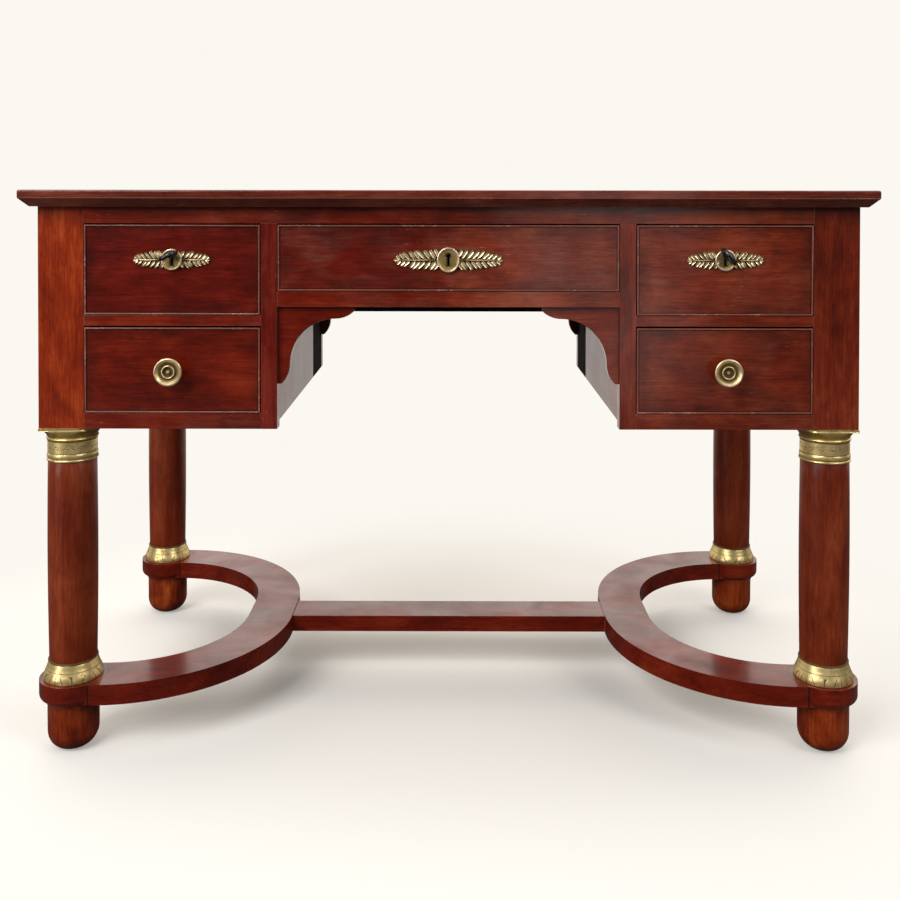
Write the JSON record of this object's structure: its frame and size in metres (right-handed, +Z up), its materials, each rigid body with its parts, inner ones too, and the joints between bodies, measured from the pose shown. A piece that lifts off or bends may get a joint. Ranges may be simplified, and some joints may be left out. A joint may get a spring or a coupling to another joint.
{
  "type": "bureau plat",
  "caption": "Mahogany writing desk with a kneehole between drawer pedestals, turned columns with brass collars, and a curved stretcher with a middle bar.",
  "frame": {"origin": "middle of the footprint on the floor", "axes": "+X along the desk to the sitter's right as seen from the front, -Y towards the sitter (drawers open that way), +Z up"},
  "size_m": [1.15, 0.593, 0.77],
  "materials": {
    "mahogany": "French-polished red-brown mahogany",
    "oak": "bare waxed oak of drawer linings and inner boards",
    "brass": "aged gilt brass",
    "leather": "dark tooled hide",
    "key_steel": "dark worn steel",
    "lock_iron": "dark sheet iron"
  },
  "bodies": {
    "carcase": {"top_board": "mahogany", "writing_leather": "leather", "corner_posts": "mahogany", "front_top_rail": "mahogany", "front_stiles": "mahogany", "kneehole_rail": "mahogany", "divider_rails": "mahogany", "bottom_rails": "mahogany", "side_panels": "mahogany", "kneehole_sides": "mahogany", "back_panels": "mahogany", "back_apron": "mahogany", "pedestal_floors": "oak", "dust_boards": "oak", "kneehole_ceiling": "mahogany", "drawer_guides": "oak", "kneehole_brackets": "mahogany", "kneehole_rear_stiles": "mahogany", "columns": "mahogany", "capitals": "brass", "base_rings": "brass", "feet": "mahogany", "stretcher_curve_left": "mahogany", "stretcher_curve_right": "mahogany", "stretcher_bar": "mahogany"},
    "upper_left_drawer": {"upper_left_drawer_front": "mahogany", "upper_left_drawer_sides": "oak", "upper_left_drawer_back": "oak", "upper_left_drawer_bottom": "oak", "left_escutcheon": "brass", "left_lock_case": "lock_iron"},
    "lower_left_drawer": {"lower_left_drawer_front": "mahogany", "lower_left_drawer_sides": "oak", "lower_left_drawer_back": "oak", "lower_left_drawer_bottom": "oak", "left_knob": "brass"},
    "upper_right_drawer": {"upper_right_drawer_front": "mahogany", "upper_right_drawer_sides": "oak", "upper_right_drawer_back": "oak", "upper_right_drawer_bottom": "oak", "right_escutcheon": "brass", "right_lock_case": "lock_iron"},
    "lower_right_drawer": {"lower_right_drawer_front": "mahogany", "lower_right_drawer_sides": "oak", "lower_right_drawer_back": "oak", "lower_right_drawer_bottom": "oak", "right_knob": "brass"},
    "centre_drawer": {"centre_drawer_front": "mahogany", "centre_drawer_sides": "oak", "centre_drawer_back": "oak", "centre_drawer_bottom": "oak", "centre_escutcheon": "brass", "centre_lock_case": "lock_iron"},
    "left_key": {"left_key": "key_steel"},
    "left_bolt": {"left_lock_bolt": "key_steel"},
    "right_key": {"right_key": "key_steel"},
    "right_bolt": {"right_lock_bolt": "key_steel"},
    "centre_bolt": {"centre_lock_bolt": "key_steel"}
  },
  "joints": [
    {"name": "upper_left_drawer_slide", "type": "slide", "parent": "carcase", "child": "upper_left_drawer", "axis": [0, -1, 0], "range_m": [0, 0.36]},
    {"name": "lower_left_drawer_slide", "type": "slide", "parent": "carcase", "child": "lower_left_drawer", "axis": [0, -1, 0], "range_m": [0, 0.36]},
    {"name": "centre_drawer_slide", "type": "slide", "parent": "carcase", "child": "centre_drawer", "axis": [0, -1, 0], "range_m": [0, 0.36]},
    {"name": "upper_right_drawer_slide", "type": "slide", "parent": "carcase", "child": "upper_right_drawer", "axis": [0, -1, 0], "range_m": [0, 0.36]},
    {"name": "lower_right_drawer_slide", "type": "slide", "parent": "carcase", "child": "lower_right_drawer", "axis": [0, -1, 0], "range_m": [0, 0.36]},
    {"name": "left_key_turn", "type": "hinge", "parent": "upper_left_drawer", "child": "left_key", "pos_m": [-0.37325, -0.272, 0.682], "axis": [0, -1, 0], "range_deg": [0, 90]},
    {"name": "left_bolt_slide", "type": "slide", "parent": "upper_left_drawer", "child": "left_bolt", "axis": [0, 0, 1], "range_m": [0, 0.008]},
    {"name": "right_key_turn", "type": "hinge", "parent": "upper_right_drawer", "child": "right_key", "pos_m": [0.37325, -0.272, 0.682], "axis": [0, -1, 0], "range_deg": [0, 90]},
    {"name": "right_bolt_slide", "type": "slide", "parent": "upper_right_drawer", "child": "right_bolt", "axis": [0, 0, 1], "range_m": [0, 0.008]},
    {"name": "centre_bolt_slide", "type": "slide", "parent": "centre_drawer", "child": "centre_bolt", "axis": [0, 0, 1], "range_m": [0, 0.008]}
  ],
  "couplings": [
    {"joint": "left_bolt_slide", "follows": "left_key_turn", "m_per_rad": 0.0050866},
    {"joint": "right_bolt_slide", "follows": "right_key_turn", "m_per_rad": 0.0050866}
  ]
}
